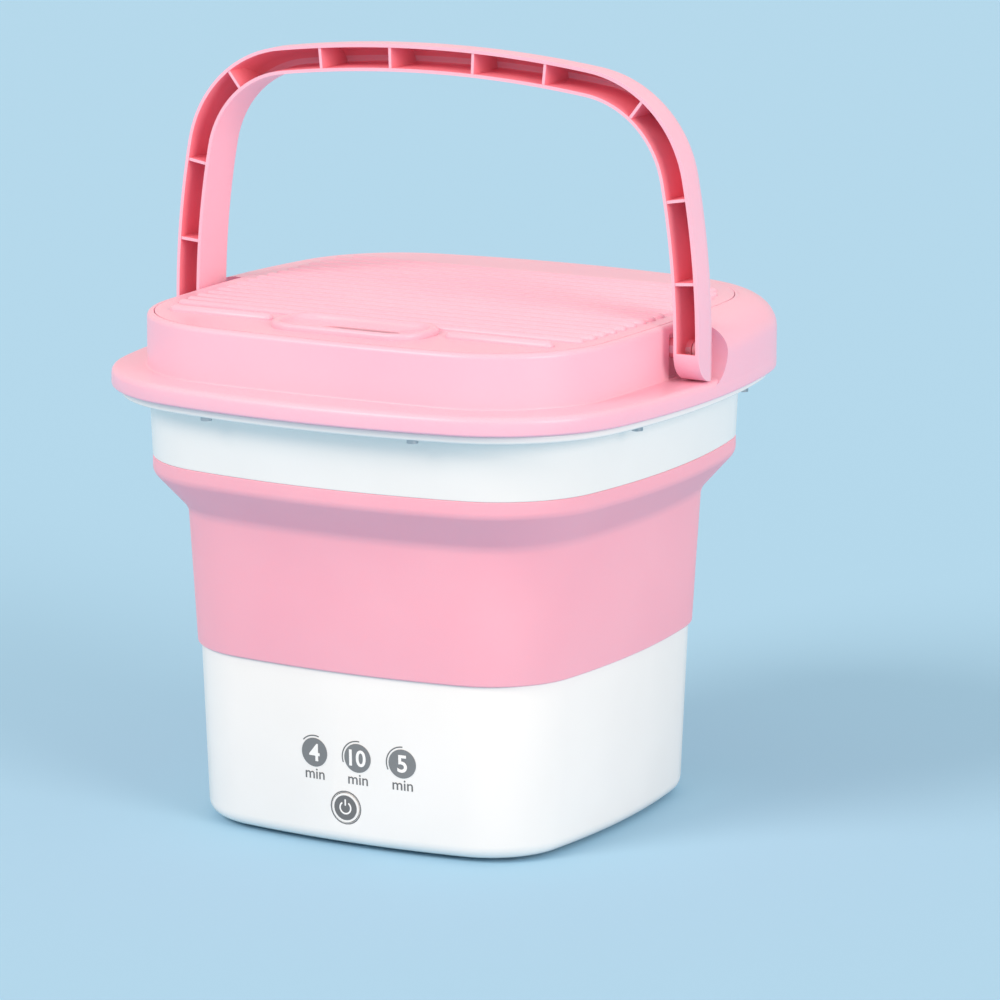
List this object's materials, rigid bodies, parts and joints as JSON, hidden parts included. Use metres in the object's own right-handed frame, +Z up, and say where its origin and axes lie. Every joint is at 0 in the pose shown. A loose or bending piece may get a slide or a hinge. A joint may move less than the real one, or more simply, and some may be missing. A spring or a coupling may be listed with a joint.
{
  "type": "portable folding mini washing machine",
  "caption": "Small folding washing machine: a square-round base with a pulsator, a soft wall that folds down, a top frame with a washboard lid and a swinging carrying handle.",
  "frame": {"origin": "on the floor under the middle of the outline", "axes": "+Z up; +X to the right seen from the controls, along the handle's pivot line; -Y to the front, where the controls are"},
  "size_m": [0.2962, 0.2962, 0.3855],
  "materials": {
    "white_shell": "polished moulding",
    "white_moulding": "fine texture",
    "pink_moulding": "satin moulding",
    "pink_silicone": "matte soft moulding",
    "grey_rubber": "matte",
    "white_silicone": "matte",
    "black_rubber": "matte",
    "steel": "zinc plated",
    "stainless": "ground",
    "bush_brass": "turned",
    "nylon": "natural nylon",
    "circuit_board": "solder mask",
    "black_plastic": "moulded",
    "lamp": "clear lens",
    "grey_plastic": "printed disc"
  },
  "bodies": {
    "base": {"base_shell": "white_shell", "bottom_cover": "white_moulding", "cover_screws": "steel", "rubber_feet": "grey_rubber", "wash_basin": "white_moulding", "drain_elbow": "white_moulding", "shaft_bush": "bush_brass", "shaft_seal": "black_rubber", "drive_motor": "steel", "motor_bracket": "steel", "bracket_screws": "steel", "motor_screws": "steel", "control_board": "circuit_board", "board_screws": "steel", "mode_leds": "lamp", "start_switch": "black_plastic", "mode_lenses": "grey_plastic", "power_jack": "black_plastic", "jack_nut": "steel", "folding_wall": "pink_silicone"},
    "pulsator": {"pulsator": "white_moulding", "pulsator_screw": "stainless", "pulsator_shaft": "stainless", "drive_gear": "nylon", "shaft_circlip": "steel"},
    "motor_rotor": {"motor_pinion": "nylon", "motor_shaft": "steel"},
    "start_button": {"start_button": "grey_plastic"},
    "drain_plug": {"drain_plug": "grey_rubber"},
    "upper_frame": {"upper_ring": "white_shell", "top_frame": "pink_moulding", "frame_gasket": "white_silicone", "lip_screws": "steel", "pivot_pins": "pink_moulding", "friction_washers": "nylon"},
    "handle": {"carry_handle": "pink_moulding"},
    "lid": {"washboard_lid": "pink_moulding", "lid_seal": "white_silicone"}
  },
  "joints": [
    {"name": "wall_fold", "type": "slide", "parent": "base", "child": "upper_frame", "axis": [0, 0, 1], "range_m": [-0.08, 0], "deforming": ["folding_wall"]},
    {"name": "handle_swing", "type": "hinge", "parent": "upper_frame", "child": "handle", "pos_m": [0, -0.002, 0.245], "axis": [1, 0, 0], "range_deg": [0, 90]},
    {"name": "lid_lift", "type": "slide", "parent": "upper_frame", "child": "lid", "axis": [0, 0, 1], "range_m": [0, 0.06]},
    {"name": "pulsator_spin", "type": "hinge", "parent": "base", "child": "pulsator", "pos_m": [0, 0, 0.045], "axis": [0, 0, 1], "continuous": true},
    {"name": "rotor_spin", "type": "hinge", "parent": "base", "child": "motor_rotor", "pos_m": [0.03025, 0, 0.045], "axis": [0, 0, 1], "continuous": true},
    {"name": "button_press", "type": "slide", "parent": "base", "child": "start_button", "axis": [0, 1, 0], "range_m": [0, 0.0008], "stiffness_N_per_m": 500, "springref_m": -0.001},
    {"name": "plug_pull", "type": "slide", "parent": "base", "child": "drain_plug", "axis": [0, 1, 0], "range_m": [0, 0.03]}
  ],
  "couplings": [
    {"joint": "rotor_spin", "follows": "pulsator_spin", "ratio": -3}
  ]
}
